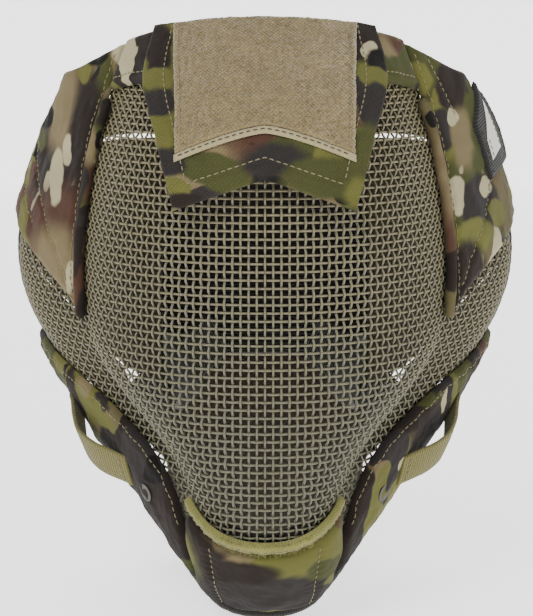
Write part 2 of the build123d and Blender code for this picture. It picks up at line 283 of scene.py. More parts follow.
def stitch_row(g, up, line, pitch=3.0, long=2.1, thick=0.27, lift=0.15):
    """(verts, quads) of single stitches along a line on a grid."""
    r, s = dense(line)
    p, n = sample(g, r, s), unit(sample(up, r, s))
    run = np.concatenate([[0], np.cumsum(length(np.diff(p, axis=0)))])
    parts = []
    for a in np.arange(pitch / 2, run[-1] - pitch / 2, pitch):
        at = np.linspace(a - long / 2, a + long / 2, 6)
        q = np.stack([np.interp(at, run, p[:, k]) for k in range(3)], 1)
        m = np.stack([np.interp(at, run, n[:, k]) for k in range(3)], 1)
        hump = np.array([-0.5, 0.05, 0.3, 0.3, 0.05, -0.5]) * thick
        parts.append(tube(q + m * (lift + hump)[:, None], thick * np.array([0.4, 0.9, 1, 1, 0.9, 0.4]), m, 6))
    return join(parts)


# ---------------------------------------------------------------- materials
class Mat:
    def __init__(self, name):
        self.mat = bpy.data.materials.new(name)
        self.mat.use_nodes = True
        self.t = self.mat.node_tree
        self.t.nodes.clear()
        self.bsdf = self.t.nodes.new("ShaderNodeBsdfPrincipled")
        out = self.t.nodes.new("ShaderNodeOutputMaterial")
        self.t.links.new(self.bsdf.outputs[0], out.inputs[0])
        self.obj = self.n("TexCoord").outputs["Object"]
        self.uv = self.n("TexCoord").outputs["UV"]

    def set(self, socket, value):
        if isinstance(value, bpy.types.NodeSocket):
            self.t.links.new(value, socket)
        else:
            socket.default_value = value

    def n(self, kind, **inputs):
        node = self.t.nodes.new("ShaderNode" + kind)
        for k, v in inputs.items():
            if k in ("operation", "data_type", "interpolation_type", "blend_type", "feature", "distance"):
                setattr(node, k, v)
            else:
                key = int(k[1:]) if k[0] == "i" and k[1:].isdigit() else k.replace("_", " ")
                self.set(node.inputs[key], v)
        return node

    def math(self, op, a, b=0.0, c=0.5):
        """c is only read by MULTIPLY_ADD."""
        return self.n("Math", operation=op, i0=a, i1=b, i2=c).outputs[0]

    def moved(self, coord, offset=(0, 0, 0), scale=(1, 1, 1), rotation=(0, 0, 0)):
        return self.n("Mapping", Vector=coord, Location=offset, Scale=scale, Rotation=rotation).outputs[0]

    def noise(self, coord, scale, detail=2.0, rough=0.5, distortion=0.0):
        return self.n("TexNoise", Vector=coord, Scale=scale, Detail=detail, Roughness=rough,
                      Distortion=distortion).outputs["Fac"]

    def mask(self, value, at, soft):
        m = self.n("MapRange", interpolation_type="SMOOTHSTEP", Value=value)
        m.inputs["From Min"].default_value = at - soft
        m.inputs["From Max"].default_value = at + soft
        return m.outputs[0]

    def mix(self, fac, a, b, how="MIX"):
        node = self.t.nodes.new("ShaderNodeMix")
        node.data_type, node.blend_type = "RGBA", how
        self.set(node.inputs[0], fac)
        self.set(node.inputs[6], a)
        self.set(node.inputs[7], b)
        return node.outputs[2]

    def weave(self, coord, pitch):
        """Height of a plain weave, 0 to 1, from a coordinate in metres."""
        xyz = self.n("SeparateXYZ", Vector=coord)
        k = 2 * math.pi / (2 * pitch)
        a = self.math("SINE", self.math("MULTIPLY", xyz.outputs[0], k))
        b = self.math("SINE", self.math("MULTIPLY", xyz.outputs[1], k))
        return self.math("MULTIPLY_ADD", self.math("MULTIPLY", a, b), 0.5, 0.5)

    def finish(self, colour, rough, height=None, depth=0.0003, sheen=0.0, metallic=0.0, spec=0.4):
        self.set(self.bsdf.inputs["Base Color"], colour)
        self.set(self.bsdf.inputs["Roughness"], rough)
        self.bsdf.inputs["Metallic"].default_value = metallic
        self.bsdf.inputs["Specular IOR Level"].default_value = spec
        if sheen:
            self.bsdf.inputs["Sheen Weight"].default_value = sheen
            self.bsdf.inputs["Sheen Roughness"].default_value = 0.5
        if height is not None:
            b = self.n("Bump", Height=height, Strength=1.0, Distance=depth)
            self.t.links.new(b.outputs[0], self.bsdf.inputs["Normal"])
        return self.mat


def rgb(text, k=1.0):
    c = [int(text[i:i + 2], 16) / 255 for i in (0, 2, 4)]
    return tuple(min(1, k * (x / 12.92 if x <= 0.04045 else ((x + 0.055) / 1.055) ** 2.4)) for x in c) + (1,)


TAN, OLIVE, LIME, BROWN = rgb("857757"), rgb("4C4F2B"), rgb("6F6E38"), rgb("2C2420")
CHARCOAL, RUST, CREAM, BLACK = rgb("322E2D"), rgb("553A2E"), rgb("BDB491"), rgb("171412")


def camo_colour(m, seed, stretch=(1.0, 1.0, 0.6), size=1.0, lime=0.0, dark=0.0, cream=0.0, shapes=()):
    """Layered shapes: soft tan and brown ground, green and dark shapes with crisp edges, small pale and black spots."""
    c = m.moved(m.obj, (seed * 0.37, seed * 0.21, seed * 0.53), stretch)
    k = 1.0 / size
    wob = m.n("TexNoise", Vector=c, Scale=60.0 * k, Detail=2.0).outputs["Color"]
    c = m.n("VectorMath", operation="MULTIPLY_ADD", i0=wob, i1=(0.016, 0.016, 0.016), i2=c).outputs[0]

    def shape(shift, scale, at, soft=0.012, detail=1.0):
        return m.mask(m.noise(m.moved(c, (shift, shift * 0.7, -shift)), scale * k, detail, 0.45), at, soft)

    col = m.mix(shape(1.3, 20, 0.50, 0.10), TAN, rgb("665E40"))
    col = m.mix(shape(4.1, 22, 0.56, 0.06), col, RUST)
    col = m.mix(shape(2.2, 26, 0.55 - lime * 0.05), col, OLIVE)
    col = m.mix(shape(7.7, 30, 0.60 - lime * 0.10), col, LIME)
    col = m.mix(shape(5.9, 27, 0.575 - dark * 0.08), col, BROWN)
    col = m.mix(shape(9.4, 38, 0.62 - dark * 0.06), col, CHARCOAL)
    col = m.mix(shape(3.6, 52, 0.665 - cream * 0.03, 0.008), col, CREAM)
    col = m.mix(shape(8.8, 60, 0.68, 0.008), col, BLACK)
    if shapes:
        wob = m.n("TexNoise", Vector=m.obj, Scale=75.0, Detail=2.0).outputs["Color"]
        near = m.n("VectorMath", operation="MULTIPLY_ADD", i0=wob, i1=(0.007,) * 3, i2=m.obj).outputs[0]
        for x, y, z, rx, ry, rz, tone, soft in shapes:
            at = m.n("VectorMath", operation="SUBTRACT", i0=near,
                     i1=(x * 0.001 + 0.0035, y * 0.001 + 0.0035, z * 0.001 + 0.0035)).outputs[0]
            scaled = m.n("VectorMath", operation="MULTIPLY", i0=at, i1=(1000 / rx, 1000 / ry, 1000 / rz)).outputs[0]
            far = m.n("VectorMath", operation="LENGTH", i0=scaled).outputs["Value"]
            inside = m.math("SUBTRACT", 1.0, m.mask(far, 1.0, soft))
            col = m.mix(inside, col, tone)
    return col


def camo(name, seed, pitch=0.00042, depth=0.00012, **options):
    m = Mat(name)
    col = camo_colour(m, seed, **options)
    w = m.weave(m.uv, pitch)
    fuzz = m.noise(m.uv, 2600.0, 2.0)
    # darkens the whole cloth unevenly toward black, by 18 to 48 percent, to offset light that washed the colours out
    uneven_darkening = m.noise(m.obj, 35.0, 3.0)
    # painted shade in the weave: a soft-light layer darkens the low points of the weave and barely lifts the crests
    col = m.mix(0.22, col, m.mix(w, (0.0, 0.0, 0.0, 1), (0.55, 0.53, 0.45, 1)), "SOFT_LIGHT")
    col = m.mix(m.math("MULTIPLY_ADD", uneven_darkening, 0.3, 0.18), col, (0.004, 0.004, 0.003, 1))
    h = m.math("ADD", m.math("MULTIPLY", w, 0.7), m.math("MULTIPLY", fuzz, 0.5))
    return m.finish(col, 0.88, h, depth, sheen=0.03, spec=0.15)


def cloth(name, a, b, pitch=0.0006, depth=0.0002, rough=0.9, sheen=0.2, big=30.0, ribs=False):
    m = Mat(name)
    col = m.mix(m.noise(m.obj, big, 3.0), a, b)
    if ribs:
        xyz = m.n("SeparateXYZ", Vector=m.uv)
        w = m.math("SINE", m.math("MULTIPLY", xyz.outputs[1], 2 * math.pi / pitch))
        w = m.math("MULTIPLY_ADD", w, 0.5, 0.5)
    else:
        w = m.weave(m.uv, pitch)
    fuzz = m.noise(m.uv, 2200.0, 2.0)
    # painted shade in the weave: the low points of the weave are darkened toward black by up to 35 percent
    col = m.mix(m.math("MULTIPLY", m.math("SUBTRACT", 1.0, w), 0.35), col, (0.01, 0.01, 0.01, 1))
    return m.finish(col, rough, m.math("ADD", w, m.math("MULTIPLY", fuzz, 0.6)), depth, sheen=sheen, spec=0.25)


def coat():
    """Powder coat on the wire, with painted light: lighter and beiger higher up and darker and greyer low down, as
    light falls from above; a mid tan towards the outer sides, random mottling and small darker spots.
    """
    m = Mat("wire_coat_and_painted_light")
    xyz = m.n("SeparateXYZ", Vector=m.obj)
    # painted light: the wire is made lighter higher up and darker low down, as the light from above falls on it
    high = m.mask(xyz.outputs[2], 0.02, 0.09)
    col = m.mix(high, rgb("595742"), rgb("776E50"))
    out = m.mask(m.math("ABSOLUTE", xyz.outputs[0]), 0.075, 0.03)
    col = m.mix(m.math("MULTIPLY", out, 0.45), col, rgb("6A6145"))
    col = m.mix(m.math("MULTIPLY", m.noise(m.obj, 55.0, 3.0), 0.4), col, rgb("54513F"))
    spot = m.mask(m.noise(m.obj, 420.0, 2.0), 0.68, 0.03)
    col = m.mix(m.math("MULTIPLY", spot, 0.5), col, rgb("4A4638"))
    grain = m.noise(m.obj, 3800.0, 2.0)
    return m.finish(col, m.n("MapRange", Value=m.noise(m.obj, 200.0), To_Min=0.3, To_Max=0.46).outputs[0],
                    grain, 0.00008, spec=0.5)


WIRE_COAT_AND_LIGHT = coat()
# placed shapes: centre and radii in millimetres, tone, softness of the border
RIGHT_SHAPES = [
    (-91, -52, 91, 9, 20, 25, TAN, 0.4), (-80, -71, 79, 9, 20, 34, BROWN, 0.3), (-91, -66, 41, 17, 36, 16, RUST, 0.45),
    (-84, -80, 32, 10, 24, 12, RUST, 0.4), (-94, -70, 20, 14, 32, 18, TAN, 0.35), (-88, -63, 72, 3.2, 10, 7, CREAM, 0.1),
    (-94, -60, 59, 4.0, 11, 15, CREAM, 0.1), (-86, -84, 16, 3.8, 11, 8, CREAM, 0.1), (-87, -85, 2, 6, 16, 7, CHARCOAL, 0.15),
    (-84, -89, 6, 4, 11, 11, TAN, 0.2), (-64, -74, 118, 5, 13, 9, CREAM, 0.1), (-81, -61, 108, 4, 11, 7, LIME, 0.15),
    (-99, -37, 85, 3.4, 10, 6, BLACK, 0.1), (-75, -65, 114, 6, 16, 5, BLACK, 0.15), (-102, -36, 75, 3, 10, 6, OLIVE, 0.2)]
LEFT_SHAPES = [
    (72, -67, 112, 15, 34, 22, OLIVE, 0.3), (68, -77, 104, 7, 19, 8, LIME, 0.12), (77, -68, 93, 4.5, 12, 7, LIME, 0.12),
    (83, -60, 100, 8, 20, 13, BROWN, 0.15), (78, -74, 81, 6.5, 16, 10, CHARCOAL, 0.15), (88, -60, 76, 6, 16, 14, TAN, 0.3),
    (97, -58, 47, 12, 28, 13, CHARCOAL, 0.15), (84, -62, 86, 3, 9, 4, CREAM, 0.1), (86, -74, 52, 4, 11, 9, CREAM, 0.1),
    (100, -53, 54, 4, 12, 4, CREAM, 0.1), (93, -69, 33, 12, 28, 8, LIME, 0.12), (106, -47, 42, 5, 13, 7, LIME, 0.12),
    (91, -77, 17, 11, 26, 16, BROWN, 0.2)]
CHIN_SHAPES = [
    (-46, -112, -104, 20, 30, 22, OLIVE, 0.2), (-40, -118, -100, 9, 20, 12, LIME, 0.2), (4, -128, -118, 34, 40, 13, CHARCOAL, 0.12),
    (-10, -132, -103, 18, 20, 6, BROWN, 0.2), (26, -128, -104, 10, 22, 5, OLIVE, 0.15), (34, -122, -112, 8, 18, 4, LIME, 0.12),
    (42, -112, -108, 9, 18, 14, BROWN, 0.25), (2, -112, -127, 16, 20, 2.5, LIME, 0.2), (-41, -120, -95, 3, 10, 6, CREAM, 0.1),
    (37, -118, -100, 3, 8, 5, CREAM, 0.1)]
FLAP_SHAPES = [
    (-45, -120, 118, 6, 60, 12, BROWN, 0.2), (-45, -120, 106, 8, 60, 5, LIME, 0.15), (-45, -130, 96, 9, 60, 6, CHARCOAL, 0.2),
    (-44, -135, 84, 9, 60, 6.5, LIME, 0.12), (-43, -140, 72, 9, 60, 6, CHARCOAL, 0.2), (-38, -145, 62, 7, 60, 4, LIME, 0.15),
    (-34, -145, 56, 8, 60, 4, BROWN, 0.2), (-16, -145, 66, 11, 60, 7, OLIVE, 0.2), (4, -145, 73, 14, 60, 7, CHARCOAL, 0.25),
    (26, -145, 66, 18, 60, 9, OLIVE, 0.2), (46, -120, 127, 9, 60, 8, BROWN, 0.2), (45, -120, 118, 3.5, 60, 4.5, CREAM, 0.1),
    (49, -120, 113, 6, 60, 5, BLACK, 0.2), (46, -125, 107, 7, 60, 4, LIME, 0.12), (46, -130, 95, 8, 60, 9, CHARCOAL, 0.15),
    (43, -140, 74, 9, 60, 14, OLIVE, 0.2), (40, -145, 60, 7, 60, 7, LIME, 0.3)]
CAMO_L = camo("camo_left", 3.0, stretch=(1.0, 1.0, 0.62), cream=0.5, shapes=LEFT_SHAPES)
CAMO_R = camo("camo_right", 8.0, stretch=(1.0, 1.0, 0.62), cream=0.5, dark=0.3, shapes=RIGHT_SHAPES)
CAMO_JAW = camo("camo_jaw", 5.0, stretch=(1.0, 1.0, 0.7), lime=0.4, dark=0.2)
CAMO_CHIN = camo("camo_chin", 14.0, stretch=(0.7, 0.7, 1.0), size=1.3, lime=0.3, dark=0.5, shapes=CHIN_SHAPES)
CAMO_BROW = camo("camo_brow", 6.0, stretch=(0.8, 0.8, 1.0), lime=0.4, dark=0.3)
CAMO_FLAP = camo("camo_flap", 12.0, pitch=0.00085, depth=0.00035, stretch=(0.8, 0.8, 1.2), size=1.2, lime=0.5, dark=0.3,
                 shapes=FLAP_SHAPES)
EDGING = cloth("edging_tape", rgb("201F1C"), rgb("2E2C27"), pitch=0.0011, depth=0.0003, ribs=True)
PIPE_CAMO = camo("camo_piping", 21.0, stretch=(1, 1, 0.8), size=0.9, dark=0.2)
CHIN_EDGE = cloth("chin_edge", rgb("8E8A48"), rgb("6E6E3C"), pitch=0.0007, big=90.0)
DARK_FOAM = cloth("dark_foam", rgb("1F1E1C"), rgb("151413"), pitch=0.0012, depth=0.0004)
# dark khaki foam: real foam, whose dark colour is partly painted shade for the inside of the mask seen through the mesh
KHAKI_FOAM_AND_SHADE = cloth("khaki_foam", rgb("332C1F"), rgb("262117"), pitch=0.0012, depth=0.0004)
OLIVE_WEB = cloth("olive_webbing", rgb("7C7440"), rgb("67622F"), pitch=0.0013, depth=0.0004, ribs=True)
BLACK_WEB = cloth("black_webbing", rgb("1C1B1A"), rgb("272624"), pitch=0.0013, depth=0.0004, ribs=True)
ELASTIC = cloth("crown_elastic", rgb("141312"), rgb("0F0E0E"), pitch=0.0016, depth=0.0005, ribs=True)
LINING = cloth("flap_lining_cloth", rgb("3A382B"), rgb("2C2A20"), pitch=0.0007)
PILE = cloth("loop_pile", rgb("9F8B5C"), rgb("7E6D46"), pitch=0.0009, depth=0.0006, sheen=0.5, big=110.0)
DARK_PILE = cloth("dark_pile", rgb("262524"), rgb("191817"), pitch=0.0009, depth=0.0006, sheen=0.3, big=90.0)
TAN_TAPE = cloth("tan_tape", rgb("B3A67C"), rgb("9A8D66"), pitch=0.0008, ribs=True)
LABEL = cloth("label_satin", rgb("E4E2DA"), rgb("D2D0C8"), pitch=0.0004, depth=0.0001, rough=0.6)
THREAD = cloth("thread", rgb("8F8563"), rgb("746B4C"), pitch=0.0003, depth=0.0001)
DARK_THREAD = cloth("dark_thread", rgb("35332B"), rgb("28261F"), pitch=0.0003, depth=0.0001)


def shared(name, colour, rough, metallic, scale):
    m = Mat(name)
    n = m.noise(m.obj, scale, 3.0)
    col = m.mix(n, colour, tuple(c * 0.6 for c in colour[:3]) + (1,))
    rough = m.n("MapRange", Value=n, To_Min=rough - 0.1, To_Max=rough + 0.1).outputs[0]
    return m.finish(col, rough, m.noise(m.obj, scale * 8, 2.0), 0.0001, metallic=metallic)


METAL = shared("blackened_metal", rgb("4A4740"), 0.45, 0.8, 240.0)
PLASTIC = shared("black_plastic", rgb("1A1A1A"), 0.5, 0.0, 180.0)
HOOK = shared("hook_tape", rgb("1D1D1C"), 0.7, 0.0, 900.0)


def give(obj, body, node=None):
    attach(obj, body)
    if node:
        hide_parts(node)
    return obj


# ---------------------------------------------------------------- woven wire mesh
PITCH, WIRE_R, CRIMP_H, CRIMP_V, FINE = 3.4, 0.55, 0.26, 0.74, 3


def woven():
    U = np.linspace(0, 2, 401)
    V = np.linspace(0.0, 7.98, 641)
    G = S(U[:, None], V[None, :])
    low = low_edge(U) - 0.02
    line = S(np.zeros(4001), np.linspace(low[0], 7.85, 4001))
    run = np.concatenate([[0], np.cumsum(length(np.diff(line, axis=0)))])
    zs = np.interp(np.arange(0, run[-1], PITCH / FINE), run, line[:, 2])
    top = np.array([np.interp(min(7.85, 8), V, G[i, :, 2]) for i in range(len(U))])
    bottom = np.array([np.interp(low[i], V, G[i, :, 2]) for i in range(len(U))])
    K = int(230 / PITCH) * FINE
    arc_at = np.arange(K) * PITCH / FINE
    uu = np.full((len(zs), K), np.nan)
    vv = np.full((len(zs), K), np.nan)
    for j, z in enumerate(zs):
        v = np.array([np.interp(z, G[i, :, 2], V) for i in range(len(U))])
        ok = (z <= top) & (z >= bottom)
        ok &= U <= rear_edge(np.clip(v, 0.05, 7.9)) + 0.004
        stop = int(np.argmin(ok)) if not ok.all() else len(U)
        if stop < 4:
            continue
        p = S(U[:stop], v[:stop])
        a = np.concatenate([[0], np.cumsum(length(np.diff(p, axis=0)))])
        keep = arc_at <= a[-1]
        uu[j, keep] = np.interp(arc_at[keep], a, U[:stop])
        vv[j, keep] = np.interp(arc_at[keep], a, v[:stop])
    ok = ~np.isnan(uu)
    P = np.full(uu.shape + (3,), np.nan)
    Q = np.full(uu.shape + (3,), np.nan)
    P[ok] = S(uu[ok], vv[ok])
    Q[ok] = N(np.maximum(uu[ok], 1e-4), vv[ok])
    jj, kk = np.arange(len(zs)), np.arange(K)
    sign_row = np.cos(math.pi * jj / FINE)
    sign_col = np.cos(math.pi * kk / FINE)

    def runs(mask):
        edges = np.flatnonzero(np.diff(np.concatenate([[0], mask.astype(int), [0]])))
        return [(a, b) for a, b in zip(edges[::2], edges[1::2]) if b - a > FINE]

    for k_side, side in ((-1, "right"), (1, "left")):
        flip = np.array([k_side, 1.0, 1.0])
        across, down = [], []
        for j in range(0, len(zs), FINE):
            for a, b in runs(ok[j]):
                w = slice(a, b)
                path = P[j, w] + Q[j, w] * (CRIMP_H * sign_row[j] * sign_col[w])[:, None]
                across.append(tube(path * flip, np.full(b - a, WIRE_R), Q[j, w] * flip, 6))
        for k in range(0 if k_side > 0 else FINE, K, FINE):
            for a, b in runs(ok[:, k]):
                w = slice(a, b)
                path = P[w, k] - Q[w, k] * (CRIMP_V * sign_row[w] * sign_col[k])[:, None]
                down.append(tube(path * flip, np.full(b - a, WIRE_R * 0.97), Q[w, k] * flip, 6))
        for name, parts in (("across", across), ("upright", down)):
            v, q = join(parts)
            o = mesh_object(f"mesh_{name}_{side}", v, q, WIRE_COAT_AND_LIGHT)
            give(o, "mask", "face_mesh")


woven()


# ---------------------------------------------------------------- padded pieces
def pad(name, where, t0, t1, rows, cols, mat, body="mask", node=None, round_mm=5.0, wrinkle=0.45, seed=1,
        seams=(), crown=0.0, point=None, folds=(), thread=None, puff=0.25):
    """A crowned closed form over a patch of a surface, with stitched channels and soft wrinkles."""
    point = point or L
    ss, rr = np.meshgrid(np.linspace(0, 1, rows + 1), np.linspace(0, 1, cols + 1), indexing="ij")
    u, v = where(rr, ss)
    mid = point(u, v, np.full(u.shape, (t0 + t1) / 2))
    a, b = arcs(mid)
    edge = np.minimum(np.minimum(a, a[:, -1:] - a), np.minimum(b, b[-1:] - b))
    e = np.clip(edge / round_mm, 0, 1)
    prof = np.sqrt(1 - (1 - e) ** 2)
    thick = t1 - t0
    lump = wrinkle * (noise(mid, 26, seed) + 0.6 * noise(mid, 11, seed + 1) + 0.3 * noise(mid, 5, seed + 2))
    top = 0.2 + 0.8 * prof
    rise = thick * top + prof * (lump + crown * np.clip(edge / 14, 0, 1) ** 0.7 + puff)
    for line, depth in seams:
        r, s = dense(line)
        d, which = distance_to(sample(mid, r, s), mid)
        pucker = 0.25 * np.sin(which * 0.9) * np.exp(-(d / 4.0) ** 2)
        rise = rise - depth * np.exp(-(d / 1.5) ** 2) + pucker
    for line, height, wide in folds:
        r, s = dense(line)
        d, which = distance_to(sample(mid, r, s), mid)
        fade = np.sin(np.pi * which / 89)
        rise = rise + height * np.exp(-(d / wide) ** 2) * fade
    rise = np.maximum(rise, 0.5)
    outer = point(u, v, t0 + np.sign(thick) * 0 + rise) if thick > 0 else point(u, v, t0 - rise)
    inner = point(u, v, t0 + 0.25 * (1 - prof))
    o = closed(name, outer, inner, mat, np.stack([a, b], -1) * 0.001)
    give(o, body, node)
    up = unit(outer - inner)
    if seams and thread:
        v_, q_ = join([stitch_row(outer, up, line) for line, _ in seams])
        give(mesh_object(name + "_stitches", v_, q_, thread), body)
    return outer, up


def temple_spot(k):
    def spot(r, s):
        v = mix(mix(4.42, 4.88, r), 7.95, s)
        return k * mix(1.1, rear_edge(v), r), v
    return spot


TOP_SEAMS = [([(0.06, 0.03), (0.05, 0.35), (0.05, 0.7), (0.06, 0.97)], 0.7)]
for k, side, mat in ((-1, "right", CAMO_R), (1, "left", CAMO_L)):
    seams = TOP_SEAMS + [([(0.78, 0.55), (0.6, 0.42), (0.35, 0.25), (0.1, 0.08)], 1.0)]
    if k < 0:
        seams.append(([(0.92, 0.38), (0.7, 0.26), (0.55, 0.18)], 0.7))
    else:
        seams.append(([(0.25, 0.97), (0.3, 0.86), (0.35, 0.76)], 0.7))
    folds = [([(0.15, 0.9), (0.45, 0.6), (0.6, 0.42)], 0.9, 4), ([(0.2, 0.35), (0.5, 0.12), (0.8, 0.06)], 0.8, 3.5),
             ([(0.55, 0.95), (0.75, 0.8), (0.9, 0.74)], 0.8, 4)]
    pad(side + "_temple_cover_soft", temple_spot(k), SKIN, SKIN + COVER_T, 110, 70, mat, node=side + "_temple_cover",
        seams=seams, folds=folds, seed=30 + k, wrinkle=0.5, crown=1.0, thread=THREAD)
    vs = mix(4.5, 7.30, np.linspace(0, 1, 60))
    us = np.full(60, k * 0.995)
    o, _ = bead(side + "_temple_piping_soft", L(us, vs, np.full(60, SKIN + PIPING_R + 0.2)), PIPING_R * 1.05, N(us, vs),
                PIPE_CAMO, wobble=0.06, seed=4 + k)
    give(o, "mask", side + "_temple_piping")


pad("brow_cover_soft", lambda r, s: (mix(-1.04, 1.04, r), mix(7.42, 7.95, s)), SKIN, SKIN + COVER_T, 26, 120, CAMO_BROW,
    node="brow_cover", seed=50, wrinkle=0.35, seams=[([(0.02, 0.16), (0.98, 0.16)], 0.6)],
    thread=THREAD, round_mm=4)


JAW_TOP = [1.15, 2.0, 2.4, 2.4, 2.15, 1.75, 1.3]
CHIN_U = 1.06


def jaw_spot(k):
    def spot(r, s):
        u = mix(CHIN_U + 0.06, rear_edge(np.asarray(0.6)), r)
        return k * u, mix(low_edge(u), fair(JAW_TOP, r * 6), s)
    return spot


def chin_spot(r, s):
    u = mix(-CHIN_U, CHIN_U, r)
    return u, mix(low_edge(u), 1.86 - 0.25 * np.maximum(np.abs(u) - 0.9, 0) / 0.16, s)



for k, side in ((-1, "right"), (1, "left")):
    pad(side + "_jaw_cover_soft", jaw_spot(k), SKIN, SKIN + COVER_T, 80, 110, CAMO_JAW, node=side + "_jaw_cover",
        seed=60 + k, wrinkle=0.45, crown=0.6, thread=THREAD,
        seams=[([(0.03, 0.93), (0.5, 0.94), (0.96, 0.9)], 0.7)],
        folds=[([(0.1, 0.2), (0.3, 0.5), (0.4, 0.8)], 0.8, 3.5), ([(0.55, 0.15), (0.7, 0.45)], 0.7, 3)])

pad("chin_cover_soft", chin_spot, SKIN,
    SKIN + COVER_T, 56, 150, CAMO_CHIN, node="chin_cover", seed=71, wrinkle=0.45, crown=0.8,
    seams=[([(0.24, 0.05), (0.26, 0.5), (0.24, 0.95)], 0.8), ([(0.76, 0.05), (0.74, 0.5), (0.76, 0.95)], 0.8)],
    folds=[([(0.35, 0.3), (0.5, 0.22), (0.65, 0.34)], 0.8, 4), ([(0.42, 0.7), (0.55, 0.62)], 0.7, 3)], thread=THREAD)

edge_grid, edge_up = pad("chin_top_edging_soft", lambda r, s: (mix(-0.95, 0.95, r), mix(1.91, 2.12, s)), SKIN, SKIN + 3.4,
                         12, 140, CHIN_EDGE, node="chin_top_edging", seed=81, wrinkle=0.3,
                         round_mm=2.2, seams=[([(0.02, 0.35), (0.98, 0.35)], 0.35)], thread=THREAD)

# short frayed threads along the chin edging
hairs = []
for i in range(420):
    r0 = np.array([rng.uniform(0.28, 0.74)])
    s0 = np.array([rng.choice([0.12, 0.9])])
    p0, n0 = sample(edge_grid, r0, s0)[0], unit(sample(edge_up, r0, s0)[0])
    d = unit(n0 * 0.5 + rng.normal(size=3) * 0.5 + np.array([0, -0.2, 0.5 if s0[0] > 0.5 else -0.4]))
    long = rng.uniform(0.6, 2.0)
    t = np.linspace(0, 1, 4)[:, None]
    path = p0 + d * long * t + rng.normal(size=3) * 0.25 * t * t
    hairs.append(tube(path, np.array([0.09, 0.08, 0.07, 0.04]), np.tile(n0, (4, 1)), 6))
give(mesh_object("chin_edge_threads", *join(hairs), CHIN_EDGE), "mask")

# ---------------------------------------------------------------- edgings
us = mix(-1.93, 1.93, np.linspace(0, 1, 160))
o, _ = bead("lower_edging_soft", L(us, np.full(160, 0.03), np.full(160, 1.6)), EDGE_R, N(us, np.full(160, 0.05)), EDGING,
            ribs=1.1, wobble=0.03, seed=9)
give(o, "mask", "lower_edging")
for k, side in ((-1, "right"), (1, "left")):
    vs = mix(0.13, 7.85, np.linspace(0, 1, 90))
    us = np.full(90, k * 1.999)
    o, _ = bead(side + "_ear_rim_soft", L(us, vs, np.full(90, 0.6)), RIM_R, N(us * 0.99, vs), EDGING, ribs=1.1,
                wobble=0.03, seed=12 + k)
    give(o, "mask", side + "_ear_rim")

# ---------------------------------------------------------------- face-side foam
pad("brow_foam_soft", lambda r, s: (mix(-1.2, 1.2, r), mix(6.93, 7.72, s)), -SKIN - 0.3, -SKIN - 8.0, 24, 90, DARK_FOAM,
    node="brow_foam", seed=90, round_mm=3, wrinkle=0.2, puff=0.0)
pad("chin_foam_soft", lambda r, s: (mix(-0.9, 0.9, r), mix(0.45, 2.28, s)), -SKIN, -SKIN - 8.0, 28, 70, DARK_FOAM,
    node="chin_foam", seed=91, round_mm=6, wrinkle=0.2, puff=0.0)
# the temple and cheek foam sit behind the mesh; their dark khaki is partly painted shade for the mask's shaded inside
for k, side in ((-1, "right"), (1, "left")):
    pad(side + "_temple_foam_soft", lambda r, s: (k * mix(0.43, 1.84, r), mix(4.19, 6.88, s)), -SKIN - 0.9, -SKIN - 9.9,
        60, 50, KHAKI_FOAM_AND_SHADE, node=side + "_temple_foam", seed=92, round_mm=2.5, wrinkle=0.25,
        puff=0.0)
    pad(side + "_cheek_foam_soft", lambda r, s: (k * mix(mix(0.97, 0.74, s), 1.84, r), mix(1.9, 4.13, s)), -SKIN - 0.9, -SKIN - 9.9,
        40, 40, KHAKI_FOAM_AND_SHADE, node=side + "_cheek_foam", seed=94, round_mm=2.5, wrinkle=0.25,
        puff=0.0)


# ---------------------------------------------------------------- smooth path helpers
class Path:
    """A natural cubic spline through points, by share of its length."""

    def __init__(self, points):
        p = np.asarray(points, float)
        n = len(p)
        h = length(np.diff(p, axis=0))
        t = np.concatenate([[0], np.cumsum(h)])
        A = np.zeros((n, n))
        B = np.zeros((n, p.shape[1]))
        A[0, 0] = A[-1, -1] = 1
        for i in range(1, n - 1):
            A[i, i - 1:i + 2] = h[i - 1], 2 * (h[i - 1] + h[i]), h[i]
            B[i] = 6 * ((p[i + 1] - p[i]) / h[i] - (p[i] - p[i - 1]) / h[i - 1])
        M = np.linalg.solve(A, B)
        x = np.linspace(0, t[-1], 800)
        i = np.clip(np.searchsorted(t, x, side="right") - 1, 0, n - 2)
        hi, d = h[i][:, None], (x - t[i])[:, None]
        e = hi - d
        self.q = (M[i] * e**3 + M[i + 1] * d**3) / (6 * hi) + (p[i] / hi - M[i] * hi / 6) * e + (p[i + 1] / hi - M[i + 1] * hi / 6) * d
        run = np.concatenate([[0], np.cumsum(length(np.diff(self.q, axis=0)))])
        self.long, self.s = run[-1], run / run[-1]

    def __call__(self, s):
        return np.stack([np.interp(s, self.s, self.q[:, k]) for k in range(self.q.shape[1])], -1)


def offset(surface, flip):
    """surface(x, s) with an offset t along the normal that faces flip."""
    def point(x, s, t):
        s = np.clip(s, 0.004, 0.996)
        h = 0.02
        a = surface(x + h, s) - surface(x - h, s)
        b = surface(x, s + 0.004) - surface(x, s - 0.004)
        n = unit(np.cross(a, b))
        n = n * np.where(n @ flip < 0, -1.0, 1.0)[..., None]
        return surface(x, s) + n * np.asarray(t, float)[..., None]
    return point


